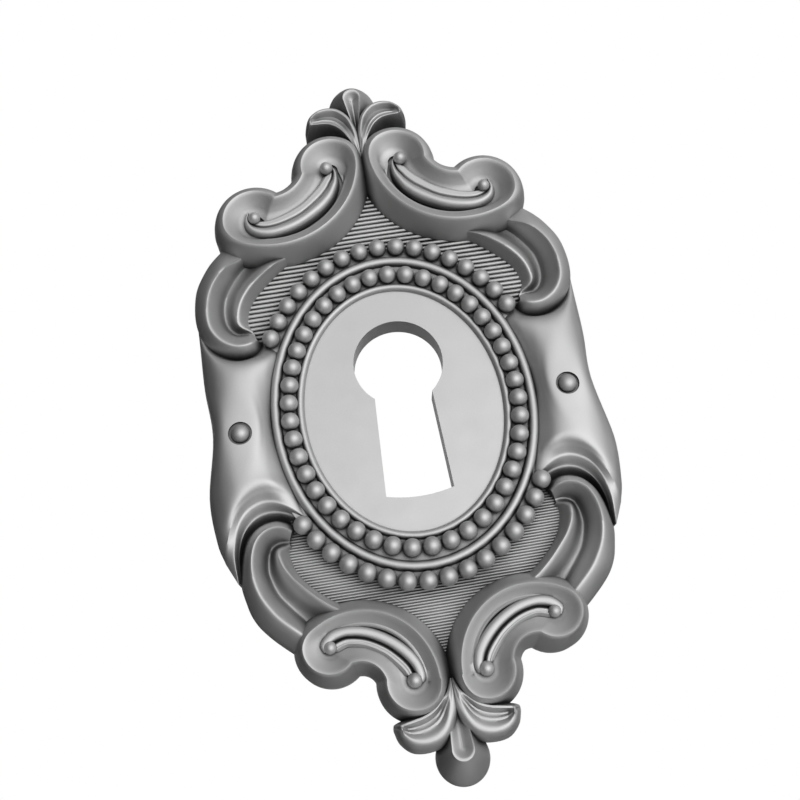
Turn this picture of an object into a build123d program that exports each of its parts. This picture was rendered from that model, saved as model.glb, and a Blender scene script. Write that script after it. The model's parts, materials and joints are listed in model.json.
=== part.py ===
"""Keyhole escutcheon: a cast rococo plate and the two round-head pins that nail it on.

The plate stands in the XZ plane with its flat back at Y = 0 and its carved front towards -Y. It is
drawn about the middle of the beaded oval and handed over with its origin midway between the pins.
Left and right are alike, so each side ornament is drawn once, at +X, and mirrored.
"""
import os
from collections import namedtuple
from math import cos, radians, sin

from build123d import *

# Heights above the back face
field_height = 3.3
leaf_height = 2.4
shoulder_height = 5.3
plaque_height = 5.6
palmette_height = 4.6
lobe_height = 4.9

# Keyhole
keyhole_diameter = 10.2
keyhole_rise = 4.7
key_slot_top_width = 6.2
key_slot_bottom_width = 7.6
key_slot_depth = 10.0
key_slot_sag = 0.5

# Oval frame: half-widths and half-heights of the rings' middle lines
inner_ring = (11.68, 14.85)
inner_ring_width = 0.95
outer_ring = (14.5, 18.2)
outer_ring_width = 1.24
ring_lift = 0.6
oval_end_share = 0.86

# Beads: the closed row between the rings, and an open arc above and below the outer ring
bead_diameter = 1.95
bead_sides = 8
bead_lift = 0.6
bead_top_angle = 62
root_depth = 0.2
bead_row = (13.02, 16.5)
bead_row_count = 43
bead_row_shift = 0.3
bead_arc = (16.25, 19.95)
bead_spacing = 2.21
top_arc_beads = range(-8, 9)
top_arc_shift = 0.0
bottom_arc_beads = range(-7, 9)
bottom_arc_shift = -0.27

# Scroll plaques: two lobes round their eyes, a broad back arc and a narrow throat arc
ScrollPlan = namedtuple(
    "ScrollPlan", "inner_eye outer_eye inner_lobe outer_lobe back throat crescent side"
)
upper_scroll = ScrollPlan((4.0, 31.1), (13.85, 25.3), 4.7, 4.9, 12.1, 3.15, 8.0, 1)
lower_scroll = ScrollPlan((3.73, -30.0), (11.9, -25.2), 4.05, 3.95, 9.5, 1.65, 5.35, -1)
throat_round = 0.8
plaque_round = 1.2
dish_depth = 0.7
crescent_width = 2.6
crescent_lift = 0.75
eye_ball_diameter = 1.7
eye_ball_lift = 0.7

# Leaf bands: outer edge from under the plaque round the hook, inner edge back, and the two crests
LeafPlan = namedtuple("LeafPlan", "root bow turn tip heel belly nape tuck crests")
upper_leaf = LeafPlan(
    root=(16.0, 24.4),
    bow=(20.9, 20.1),
    turn=(22.35, 15.0),
    tip=(15.3, 9.6),
    heel=(16.1, 11.4),
    belly=(14.4, 16.3),
    nape=(9.6, 20.4),
    tuck=(10.5, 23.5),
    crests=(
        ((15.2, 22.1), (19.5, 18.7), (20.7, 14.2), (17.2, 9.8)),
        ((10.8, 20.6), (14.8, 17.6), (17.1, 13.0)),
    ),
)
lower_leaf = LeafPlan(
    root=(15.0, -25.4),
    bow=(18.9, -21.5),
    turn=(20.4, -16.6),
    tip=(14.1, -11.9),
    heel=(14.2, -13.4),
    belly=(14.2, -17.1),
    nape=(10.5, -20.6),
    tuck=(11.5, -24.0),
    crests=(
        ((14.3, -23.7), (17.6, -20.2), (18.95, -15.8), (15.2, -11.8)),
        ((10.9, -21.3), (14.2, -18.4), (15.8, -14.6)),
    ),
)
crest_width = 3.2
crest_lift = 2.5

# Shoulders: a hollow stretch of the outer edge, its swell down to the tail, and corners under the leaves
shoulder_waist = [(22.1, 13.2), (22.2, 3.6), (22.75, -4.5)]
shoulder_tail = (20.3, -18.2)
shoulder_foot = [(19.0, -12.2), (16.6, -10.8), (15.0, -12.1), (14.2, -11.9)]
shoulder_foot_z = -9.9
shoulder_head = [(15.6, 9.4), (18.6, 9.5), (20.8, 11.4)]
shoulder_head_z = 8.8
shoulder_gap = 0.2
shoulder_fall = (1.9, 2.2)
shoulder_slope = (1.2, 1.6)
# Where each end of a shoulder starts to dip, where the dip ends and how high, and the end beyond it
shoulder_dips = [(6.6, 8.9, 4.0, 14.0), (-6.9, -9.2, 3.4, -19.0)]

# Palmette finials: middle of the round lobe, its stem's length, and the outline of one side leaf
PalmettePlan = namedtuple("PalmettePlan", "lobe stem heel under end bow top back")
top_palmette = PalmettePlan(
    lobe=41.3,
    stem=8.3,
    heel=(0.1, 32.8),
    under=(2.6, 36.4),
    end=(6.3, 37.0),
    bow=(5.9, 39.2),
    top=(3.6, 40.0),
    back=(1.3, 38.2),
)
bottom_palmette = PalmettePlan(
    lobe=-38.3,
    stem=7.3,
    heel=(0.1, -30.9),
    under=(2.4, -32.7),
    end=(6.6, -33.6),
    bow=(6.0, -36.2),
    top=(3.8, -37.0),
    back=(1.3, -35.4),
)
lobe_diameter = 5.7
lobe_crest_diameter = 2.0
lobe_skirt = 1.0
spoon_width = 1.3
spoon_depth = 0.5
stem_root_width = 0.6
palmette_hollow = 0.5
palmette_rim = 0.7

# Pins
pin_spacing = 36.92
pin_drop = 0.8
pin_head_diameter = 2.1
pin_head_height = 0.8
pin_head_flat = 1.0
pin_neck_diameter = 1.5
pin_neck_proud = 0.3
pin_shank_diameter = 1.3
pin_hole_clearance = 0.1
pin_reach = 8.0


def front(height):
    """Drawing plane this far in front of the back face."""
    return Plane.XZ.offset(height)


def front_face(part):
    """Foremost face of a part."""
    return part.faces().sort_by(Axis.Y)[0]


def meeting(centre_a, reach_a, centre_b, reach_b, side):
    """Point at these distances from two centres, left (1) or right (-1) of the way from a to b."""
    a = Vector(*centre_a)
    b = Vector(*centre_b)
    span = (b - a).length
    along = (reach_a**2 - reach_b**2 + span**2) / (2 * span)
    aside = (reach_a**2 - along**2) ** 0.5 * side
    direction = (b - a) / span
    return a + direction * along + Vector(-direction.Y, direction.X) * aside


def scroll_hub(plan):
    """Centre of the broad back arc, which wraps both lobes."""
    inner_reach = plan.back - plan.inner_lobe
    outer_reach = plan.back - plan.outer_lobe
    return meeting(plan.inner_eye, inner_reach, plan.outer_eye, outer_reach, plan.side)


def plaque_outline(plan):
    """Outline of a scroll plaque on the back face."""
    hub = scroll_hub(plan)
    eyes = [Vector(*plan.inner_eye), Vector(*plan.outer_eye)]
    lobes = [plan.inner_lobe, plan.outer_lobe]
    outward = [(eye - hub).normalized() for eye in eyes]
    touch = [eye + out * lobe for eye, out, lobe in zip(eyes, outward, lobes)]
    notch = [
        meeting(hub, plan.throat, eye, lobe, turn * plan.side)
        for eye, lobe, turn in zip(eyes, lobes, (1, -1))
    ]
    crown = [
        eye - (out + (corner - eye).normalized()).normalized() * lobe
        for eye, out, corner, lobe in zip(eyes, outward, notch, lobes)
    ]
    back_middle = hub + (outward[0] + outward[1]).normalized() * plan.back
    throat_middle = hub + (notch[0] + notch[1] - hub * 2).normalized() * plan.throat
    with BuildSketch(front(0)) as outline:
        with BuildLine():
            ThreePointArc(touch[1], back_middle, touch[0])
            ThreePointArc(touch[0], crown[0], notch[0])
            ThreePointArc(notch[0], throat_middle, notch[1])
            ThreePointArc(notch[1], crown[1], touch[1])
        make_face()
        corners = [outline.vertices().sort_by_distance(corner)[0] for corner in notch]
        fillet(corners, throat_round)
    return outline.sketch


def faceted_ball(diameter, lift, height):
    """Ball with few flat sides, its centre lifted off a surface at this height."""
    radius = diameter / 2
    rise = lift + radius * sin(radians(bead_top_angle))
    narrowing = radius * (1 - cos(radians(bead_top_angle)))
    with BuildPart() as ball:
        with BuildSketch(front(height - root_depth)):
            RegularPolygon(radius, bead_sides, major_radius=False)
        extrude(amount=root_depth + rise)
        top = front_face(ball)
        chamfer(top.edges(), length=narrowing, length2=rise + root_depth / 2, reference=top)
    return ball.part


def swept_ridge(path, width, lift):
    """Sharp ridge along a line that lies on a front plane."""
    start = Plane(origin=path @ 0, x_dir=(0, -1, 0), z_dir=path % 0)
    with BuildPart() as band:
        with BuildSketch(start):
            with BuildLine():
                Polyline((-root_depth, width / 2), (-root_depth, -width / 2), (lift, 0), close=True)
            make_face()
        sweep(path=path)
    return band.part


def ridge(points, width, lift, height):
    """Sharp ridge along an arc, with a hooked end where a fourth point gives one."""
    with BuildLine(front(height)) as path:
        bow = ThreePointArc(*points[:3])
        for end in points[3:]:
            TangentArc(bow @ 1, end, tangent=bow % 1)
    return swept_ridge(path.wire(), width, lift)


def scroll_plaque(plan):
    """Plaque with a rounded wall, a rim, a sunk dish and a veined crescent between two balls."""
    dish_height = plaque_height - dish_depth
    hub = scroll_hub(plan)
    eyes = [Vector(*plan.inner_eye), Vector(*plan.outer_eye)]
    outward = [(eye - hub).normalized() for eye in eyes]
    arc_directions = (outward[0], (outward[0] + outward[1]).normalized(), outward[1])
    arc = [(point.X, point.Y) for point in (hub + way * plan.crescent for way in arc_directions)]
    crescent = ridge(arc, crescent_width, crescent_lift, dish_height)
    ball = faceted_ball(eye_ball_diameter, eye_ball_lift, dish_height)
    with BuildPart() as plaque:
        extrude(plaque_outline(plan), amount=plaque_height)
        chamfer(front_face(plaque).edges(), plaque_round)
        extrude(front_face(plaque), amount=-dish_depth, mode=Mode.SUBTRACT)
        add(crescent)
        with Locations(*[(eye.X, 0, eye.Y) for eye in eyes]):
            add(ball)
    return plaque.part


def leaf_band(plan):
    """C-shaped leaf that curls round from under a plaque, with a furrow between two crests."""
    with BuildPart() as leaf:
        with BuildSketch(front(0)):
            with BuildLine():
                bow = ThreePointArc(plan.root, plan.bow, plan.turn)
                TangentArc(plan.turn, plan.tip, tangent=bow % 1)
                Line(plan.tip, plan.heel)
                ThreePointArc(plan.heel, plan.belly, plan.nape)
                Polyline(plan.nape, plan.tuck, plan.root)
            make_face()
        extrude(amount=leaf_height)
        for points in plan.crests:
            add(ridge(points, crest_width, crest_lift, leaf_height))
    return leaf.part


def oval_half_width(half_sizes, z):
    """Distance from the middle line to an oval's side at this height."""
    return half_sizes[0] * (1 - (z / half_sizes[1]) ** 2) ** 0.5


def shoulder():
    """Smooth saddle beside the oval, clear of the outer ring, that dips towards the leaves at both ends."""
    clear = [half + outer_ring_width / 2 + shoulder_gap for half in outer_ring]
    side = [(oval_half_width(clear, z), z) for z in (shoulder_foot_z, 0, shoulder_head_z)]
    with BuildPart() as saddle:
        with BuildSketch(front(0)):
            with BuildLine():
                waist = ThreePointArc(*shoulder_waist)
                TangentArc(waist @ 1, shoulder_tail, tangent=waist % 1)
                Polyline(shoulder_tail, *shoulder_foot, side[0])
                ThreePointArc(*side)
                Polyline(side[2], *shoulder_head, shoulder_waist[0])
            make_face()
        extrude(amount=shoulder_height)
        for arcs, (inward, down) in ((slice(1, None), shoulder_fall), (slice(1), shoulder_slope)):
            top = front_face(saddle)
            edges = top.edges().filter_by(GeomType.CIRCLE).sort_by(Axis.X)
            chamfer(edges[arcs], length=inward, length2=down, reference=top)
        with BuildSketch(Plane.YZ):
            for start, stop, low, end in shoulder_dips:
                Polygon(
                    (-shoulder_height, start),
                    (-low, stop),
                    (-low, end),
                    (-shoulder_height, end),
                    align=None,
                )
        extrude(amount=shoulder_waist[2][0] + shoulder_fall[0], mode=Mode.SUBTRACT)
    return saddle.part


def palmette(plan):
    """Three-lobed finial: a round nose with a spoon hollow, and a hollowed leaf on each side."""
    outward = 1 if plan.lobe > 0 else -1
    with BuildPart() as side_leaf:
        with BuildSketch(front(0)):
            with BuildLine():
                ThreePointArc(plan.heel, plan.under, plan.end)
                ThreePointArc(plan.end, plan.bow, plan.top)
                ThreePointArc(plan.top, plan.back, plan.heel)
            make_face()
        extrude(amount=palmette_height)
        with BuildSketch(front(palmette_height)):
            add(front_face(side_leaf))
            offset(amount=-palmette_rim, mode=Mode.REPLACE)
        extrude(amount=-palmette_hollow, mode=Mode.SUBTRACT)
    nose = lobe_diameter / 2
    flank = (lobe_diameter - lobe_crest_diameter) / 2
    stem = stem_root_width / 2 + flank
    root = plan.lobe - outward * plan.stem
    with BuildPart() as lobe:
        with BuildSketch(front(0)):
            with BuildLine():
                ThreePointArc((nose, plan.lobe), (0, plan.lobe + outward * nose), (-nose, plan.lobe))
                Polyline((-nose, plan.lobe), (-stem, root), (stem, root), (nose, plan.lobe))
            make_face()
        extrude(amount=lobe_height)
        top = front_face(lobe)
        chamfer(top.edges(), length=flank, length2=lobe_height - lobe_skirt, reference=top)
    with BuildPart() as finial:
        add(side_leaf.part)
        mirror(about=Plane.YZ)
        add(lobe.part)
        with BuildSketch(front(lobe_height)):
            with BuildLine():
                spoon = spoon_width / 2
                end = plan.lobe - outward * spoon / 2
                ThreePointArc((-spoon, end), (0, end + outward * spoon), (spoon, end))
                Polyline((spoon, end), (0, (plan.lobe + root) / 2), (-spoon, end))
            make_face()
        extrude(amount=-spoon_depth, mode=Mode.SUBTRACT)
    return finial.part


def ring(half_sizes, width):
    """Oval moulding of four arcs, tighter at the top and bottom ends than at the sides."""
    half_width, half_height = half_sizes
    end_radius = half_width * oval_end_share
    corner_square = half_width**2 + half_height**2 - 2 * half_height * end_radius
    side_radius = corner_square / (half_width - end_radius) / 2
    end_centre = Vector(0, half_height - end_radius)
    side_centre = Vector(half_width - side_radius, 0)
    joint = end_centre + (end_centre - side_centre).normalized() * end_radius
    joints = [(joint.X, joint.Y), (-joint.X, joint.Y), (-joint.X, -joint.Y), (joint.X, -joint.Y)]
    crowns = [(0, half_height), (-half_width, 0), (0, -half_height), (half_width, 0)]
    with BuildLine(front(field_height)) as path:
        for number, crown in enumerate(crowns):
            ThreePointArc(joints[number], crown, joints[(number + 1) % 4])
    return swept_ridge(path.wire(), width, ring_lift)


def oval_places(half_sizes, start_angle, distances):
    """Points on an oval at these distances along it from the start angle, anticlockwise."""
    oval = EllipticalCenterArc((0, 0), half_sizes[0], half_sizes[1], start_angle=start_angle, arc_size=360)
    places = [oval @ (distance / oval.length % 1) for distance in distances]
    return [(place.X, 0, place.Y) for place in places]


row_oval = EllipticalCenterArc((0, 0), bead_row[0], bead_row[1], start_angle=90, arc_size=360)
row_pitch = row_oval.length / bead_row_count
row_steps = [(i - bead_row_shift) * row_pitch for i in range(bead_row_count)]
top_steps = [(i + top_arc_shift) * bead_spacing for i in top_arc_beads]
bottom_steps = [(i + bottom_arc_shift) * bead_spacing for i in bottom_arc_beads]
bead_places = [
    *oval_places(bead_row, 90, row_steps),
    *oval_places(bead_arc, 90, top_steps),
    *oval_places(bead_arc, 270, bottom_steps),
]
bead = faceted_ball(bead_diameter, bead_lift, field_height)

pin_places = [(side * pin_spacing / 2, -pin_drop) for side in (-1, 1)]

# Outline of the flat field, hidden under the ornaments and ending at the leaves' inner crests
field_corners = [
    upper_scroll.inner_eye,
    upper_scroll.outer_eye,
    *upper_leaf.crests[1],
    upper_leaf.heel,
    pin_places[1],
    lower_leaf.heel,
    *reversed(lower_leaf.crests[1]),
    lower_scroll.outer_eye,
    lower_scroll.inner_eye,
]

with BuildPart() as side_ornaments:
    add(shoulder())
    for leaf_plan in (upper_leaf, lower_leaf):
        add(leaf_band(leaf_plan))
    for scroll_plan in (upper_scroll, lower_scroll):
        add(scroll_plaque(scroll_plan))

with BuildPart() as escutcheon_plate:
    with BuildSketch(front(0)):
        Polygon(*field_corners, *[(-x, z) for x, z in reversed(field_corners)], align=None)
    extrude(amount=field_height)
    add(side_ornaments.part)
    add(side_ornaments.part.mirror(Plane.YZ))
    for palmette_plan in (top_palmette, bottom_palmette):
        add(palmette(palmette_plan))
    add(ring(inner_ring, inner_ring_width))
    add(ring(outer_ring, outer_ring_width))
    with Locations(*bead_places):
        add(bead)
    with BuildSketch(front(0)):
        with Locations((0, keyhole_rise)):
            Circle(keyhole_diameter / 2)
        with BuildLine():
            half_top = key_slot_top_width / 2
            half_bottom = key_slot_bottom_width / 2
            Polyline((-half_bottom, -key_slot_depth), (-half_top, keyhole_rise), (half_top, keyhole_rise))
            Line((half_top, keyhole_rise), (half_bottom, -key_slot_depth))
            ThreePointArc(
                (half_bottom, -key_slot_depth),
                (0, -key_slot_depth - key_slot_sag),
                (-half_bottom, -key_slot_depth),
            )
        make_face()
    extrude(amount=field_height, mode=Mode.SUBTRACT)
    with BuildSketch(front(0)):
        with Locations(*pin_places):
            Circle(pin_neck_diameter / 2 + pin_hole_clearance)
    extrude(amount=shoulder_height, mode=Mode.SUBTRACT)
escutcheon_plate.part.label = "escutcheon_plate"

head = pin_head_diameter / 2
neck = pin_neck_diameter / 2
shank = pin_shank_diameter / 2
with BuildPart() as pin:
    with BuildSketch(Plane.XY):
        with BuildLine():
            Polyline(
                (0, pin_reach),
                (shank, pin_reach),
                (shank, pin_neck_proud),
                (neck, pin_neck_proud),
                (neck, -shoulder_height),
                (head, -shoulder_height),
                (pin_head_flat / 2, -shoulder_height - pin_head_height),
                (0, -shoulder_height - pin_head_height),
                close=True,
            )
        make_face()
    revolve(axis=Axis.Y)
with BuildPart() as escutcheon_pins:
    with Locations(*[(x, 0, z) for x, z in pin_places]):
        add(pin.part)
escutcheon_pins.part.label = "escutcheon_pins"

rise = Location((0, 0, pin_drop))
os.makedirs("parts", exist_ok=True)
export_step(escutcheon_plate.part.moved(rise), "parts/escutcheon_plate.step")
export_step(escutcheon_pins.part.moved(rise), "parts/escutcheon_pins.step")
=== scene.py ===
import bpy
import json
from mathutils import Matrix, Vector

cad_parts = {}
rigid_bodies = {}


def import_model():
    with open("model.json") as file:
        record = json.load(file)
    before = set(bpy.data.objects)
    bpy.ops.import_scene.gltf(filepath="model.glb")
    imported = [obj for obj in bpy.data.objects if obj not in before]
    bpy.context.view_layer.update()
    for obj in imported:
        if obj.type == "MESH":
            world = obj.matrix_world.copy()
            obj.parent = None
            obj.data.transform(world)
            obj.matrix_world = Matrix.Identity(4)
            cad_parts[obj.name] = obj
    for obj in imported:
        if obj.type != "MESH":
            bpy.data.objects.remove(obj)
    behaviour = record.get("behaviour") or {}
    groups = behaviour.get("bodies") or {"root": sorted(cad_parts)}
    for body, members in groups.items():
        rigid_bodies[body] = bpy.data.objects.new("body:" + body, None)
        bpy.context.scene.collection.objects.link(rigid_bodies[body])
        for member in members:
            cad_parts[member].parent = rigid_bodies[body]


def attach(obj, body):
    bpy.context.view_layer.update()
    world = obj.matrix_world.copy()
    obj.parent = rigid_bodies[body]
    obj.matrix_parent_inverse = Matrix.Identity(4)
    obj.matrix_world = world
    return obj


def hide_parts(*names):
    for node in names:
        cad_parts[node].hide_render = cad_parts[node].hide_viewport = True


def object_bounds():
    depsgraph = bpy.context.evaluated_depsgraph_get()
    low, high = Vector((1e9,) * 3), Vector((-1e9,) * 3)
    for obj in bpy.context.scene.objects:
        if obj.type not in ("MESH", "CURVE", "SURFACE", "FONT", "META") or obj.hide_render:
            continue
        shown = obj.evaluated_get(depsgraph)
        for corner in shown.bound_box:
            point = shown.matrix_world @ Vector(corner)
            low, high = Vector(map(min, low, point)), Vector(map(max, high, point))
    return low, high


bl_info = {
    "name": "Keyhole Escutcheon",
    "version": (1, 0, 0),
    "blender": (4, 5, 0),
    "location": "View3D > Sidebar > Escutcheon",
    "description": "Carved cast plate, its two pins and a plain stage",
    "category": "Object",
}

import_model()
cad_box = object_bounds()

import json
import math

import bmesh
import bpy
import numpy as np
from mathutils import Matrix, Vector

MM = 0.001
# The plate is drawn in millimetres about the middle of its oval, which stands this far above the pins.
OVAL_RISE = 0.8
PIN_SPACING = 36.92

# Keyhole: a round of (x, y, radius) above a slot that widens downwards, whose top and foot are
# (half width, y). The foot bows down by the sag.
KEYHOLE_ROUND = (0.2, 5.4, 5.15)
SLOT_TOP = (3.1, 1.7)
SLOT_FOOT = (3.8, -10.0)
SLOT_SAG = 0.5

# Oval: half axes of its flat, and of its two rings with their widths and rises
OVAL = (16.3, 20.0)
INNER_RING = (11.68, 14.85, 0.95, 0.6)
OUTER_RING = (14.5, 18.2, 1.24, 0.75)
RING_SINK = 0.05
# Beads: half axes of the closed row and of the two open arcs, with the shift of each as a share of a step
BEAD_ROW = (12.92, 16.3)
BEAD_ROW_COUNT = 43
BEAD_ROW_SHIFT = 0.3
BEAD_ARC = (16.2, 19.9)
BEAD_ARC_STEP = 2.21
TOP_ARC_BEADS = range(-8, 9)
BOTTOM_ARC_BEADS = range(-7, 9)
BOTTOM_ARC_SHIFT = -0.27

# Reeded slab before it is cut to the field's edge: half width, lowest and highest row, and rows in one reed
REED_HALF_WIDTH = 18.0
REED_LOWEST = -31.0
REED_HIGHEST = 32.0
REED_ROWS = 8
# Edge of the reeded field, hidden under the ornaments round it (right half)
FIELD_EDGE = (
    (0.0, 31.0), (8.0, 27.5), (13.8, 24.0), (11.6, 20.2), (14.9, 17.3), (16.4, 14.8), (16.5, 13.2),
    (16.3, 11.5), (16.1, 10.0), (15.2, 8.6), (15.4, 0.0), (14.6, -8.0), (14.3, -11.6), (15.2, -14.2),
    (15.1, -16.2), (13.3, -18.6), (10.9, -20.7), (11.9, -25.2), (6.0, -28.5), (0.0, -29.5),
)

# Scroll plaques (right half): two eyes, the lobe round each, and the hub of the back and throat arcs
UPPER_SCROLL = {
    "eyes": ((4.0, 31.1), (13.85, 25.3)),
    "lobes": (4.7, 4.9),
    "hub": (11.43, 32.12),
    "throat": 3.15,
    # inset from the back and the lobes, inset from the throat, height
    "section": (
        (0.0, 0.0, 2.5), (0.3, 0.25, 3.3), (0.65, 0.5, 4.15), (1.0, 0.8, 4.95), (1.2, 1.0, 5.3),
        (1.38, 1.15, 5.52), (1.55, 1.3, 5.6), (1.72, 1.5, 5.52), (2.0, 1.9, 5.29), (2.4, 2.4, 4.9),
        (2.68, 2.85, 4.62), (2.82, 3.1, 4.58), (2.9, 3.3, 4.41), (2.96, 3.6, 3.95), (3.04, 3.75, 3.95),
    ),
    # inset from the lobes' far sides, inset from the throat, height
    "far_section": (
        (-0.25, -0.2, 2.5), (-0.12, -0.1, 3.4), (0.08, 0.06, 4.2), (0.3, 0.25, 4.75), (0.52, 0.46, 5.12),
        (0.85, 0.8, 5.45), (1.2, 1.2, 5.6), (1.38, 1.36, 5.53), (1.6, 1.54, 5.35), (1.88, 1.74, 5.1),
        (2.18, 1.95, 4.82), (2.72, 2.42, 4.4), (2.92, 2.62, 4.26), (3.25, 3.0, 4.1), (3.8, 3.8, 3.99),
    ),
    "crescent_outer": (
        (3.8, 31.4), (3.25, 30.5), (3.2, 29.1), (3.6, 27.9), (4.4, 26.6), (6.1, 25.1), (8.9, 23.6),
        (11.7, 22.95), (13.6, 23.2), (14.9, 24.1), (15.25, 25.5), (14.7, 26.8),
    ),
    "crescent_inner": (
        (4.1, 31.1), (4.2, 30.6), (4.5, 30.2), (4.85, 29.9), (5.3, 29.3), (6.1, 28.4), (8.05, 26.75),
        (10.2, 25.75), (11.9, 25.25), (13.1, 25.2), (13.9, 25.4), (14.2, 26.2),
    ),
    # share of the way from the inner edge to the outer one, height
    "crescent": (
        (-0.1, 4.45), (0.0, 4.7), (0.1, 4.68), (0.24, 4.7), (0.33, 4.66), (0.38, 4.36), (0.44, 4.62),
        (0.56, 4.84), (0.68, 4.9), (0.8, 4.8), (0.9, 4.5), (0.96, 4.15), (1.0, 3.9),
    ),
    "eye_balls": ((4.5, 31.0, 0.79), (13.87, 25.66, 0.73)),
}
LOWER_SCROLL = {
    "eyes": ((3.73, -30.0), (11.9, -25.2)),
    "lobes": (4.05, 3.95),
    "hub": (9.3, -29.9),
    "throat": 1.65,
    "section": (
        (0.0, 0.0, 2.5), (0.3, 0.25, 3.3), (0.65, 0.5, 4.15), (1.0, 0.75, 4.95), (1.2, 0.9, 5.3),
        (1.36, 1.03, 5.52), (1.5, 1.15, 5.6), (1.66, 1.35, 5.52), (1.95, 1.7, 5.27), (2.3, 2.1, 4.95),
        (2.65, 2.5, 4.72), (2.8, 2.65, 4.76), (2.92, 2.75, 4.86), (3.02, 2.82, 4.8), (3.12, 2.9, 4.68),
    ),
    "far_section": (
        (0.0, 0.0, 2.5), (0.25, 0.25, 3.3), (0.5, 0.5, 4.15), (0.75, 0.75, 4.95), (0.9, 0.9, 5.3),
        (1.03, 1.03, 5.52), (1.18, 1.15, 5.6), (1.34, 1.3, 5.55), (1.54, 1.48, 5.43), (1.8, 1.7, 5.26),
        (2.08, 1.93, 5.07), (2.7, 2.48, 4.7), (2.88, 2.66, 4.62), (3.15, 2.9, 4.54), (3.5, 3.5, 4.48),
    ),
    "crescent_outer": (
        (3.45, -30.1), (2.8, -30.2), (2.5, -29.3), (2.95, -27.7), (4.2, -26.05), (5.9, -24.7),
        (7.8, -23.75), (9.8, -23.35), (11.4, -23.5), (12.4, -24.1), (12.9, -24.9), (12.6, -25.7),
    ),
    "crescent_inner": (
        (3.9, -29.7), (4.1, -29.5), (4.4, -29.25), (4.7, -28.7), (5.3, -27.9), (6.4, -26.75),
        (8.1, -25.7), (9.8, -25.25), (10.7, -25.4), (11.2, -25.6), (11.5, -25.7), (11.8, -25.6),
    ),
    "crescent": (
        (-0.12, 4.7), (0.0, 4.95), (0.06, 5.04), (0.12, 4.94), (0.2, 5.02), (0.28, 5.0), (0.34, 4.72),
        (0.39, 4.4), (0.45, 4.86), (0.52, 5.06), (0.62, 5.13), (0.74, 5.14), (0.86, 5.1), (0.95, 4.95),
        (1.0, 4.72),
    ),
    "eye_balls": ((3.74, -29.9, 0.8), (11.85, -25.3, 0.7)),
}

# Scrolling leaves (right half): lines of (x, y, height) from the plaque to the curled tip. They are the
# outer foot, the outer crest, the furrow, the inner crest and the edge towards the reeds.
UPPER_LEAF = (
    ((14.8, 25.0, 2.9), (17.4, 23.6, 2.9), (19.6, 21.8, 2.9), (21.0, 19.9, 2.9), (21.9, 18.0, 2.9),
     (22.3, 15.6, 2.9), (22.25, 13.6, 2.9), (21.8, 12.0, 3.1), (20.95, 10.4, 3.2), (19.3, 9.15, 3.2),
     (17.3, 8.65, 3.2), (15.7, 9.15, 3.0), (14.9, 10.3, 2.6)),
    ((13.6, 23.3, 2.9), (16.2, 21.4, 3.5), (18.05, 19.95, 4.65), (19.35, 18.5, 4.88), (20.25, 16.8, 4.9),
     (20.68, 14.8, 4.9), (20.62, 12.9, 4.9), (20.1, 11.6, 4.9), (19.2, 10.55, 4.9), (18.0, 9.85, 4.9),
     (16.9, 9.72, 4.88), (16.0, 9.95, 4.7), (15.45, 10.45, 4.1)),
    ((13.3, 22.9, 2.2), (15.0, 21.5, 2.1), (16.0, 20.8, 2.0), (17.2, 19.5, 2.0), (18.4, 17.6, 2.0),
     (18.85, 16.2, 2.0), (18.97, 14.8, 2.0), (18.8, 13.7, 2.0), (18.4, 12.9, 2.0), (17.7, 12.35, 2.1),
     (16.9, 12.1, 2.3), (16.3, 12.0, 2.5), (15.7, 11.7, 2.6)),
    ((8.9, 22.4, 2.8), (10.2, 21.1, 3.2), (11.3, 20.4, 3.85), (12.9, 19.25, 4.45), (14.9, 17.75, 4.4),
     (16.05, 16.6, 4.25), (16.75, 15.6, 4.1), (17.2, 14.6, 3.9), (17.4, 13.7, 3.75), (17.35, 13.05, 3.5),
     (17.0, 12.65, 3.2), (16.5, 12.45, 2.9), (15.95, 12.2, 2.6)),
    ((7.6, 22.2, 2.2), (9.0, 21.2, 2.2), (10.0, 20.55, 2.2), (11.7, 19.45, 2.2), (13.73, 17.7, 2.2),
     (14.9, 16.5, 2.2), (15.5, 15.7, 2.2), (15.9, 14.9, 2.2), (16.12, 14.1, 2.2), (16.2, 13.4, 2.2),
     (16.15, 12.95, 2.2), (16.05, 12.7, 2.2), (15.7, 12.4, 2.2)),
)
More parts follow.
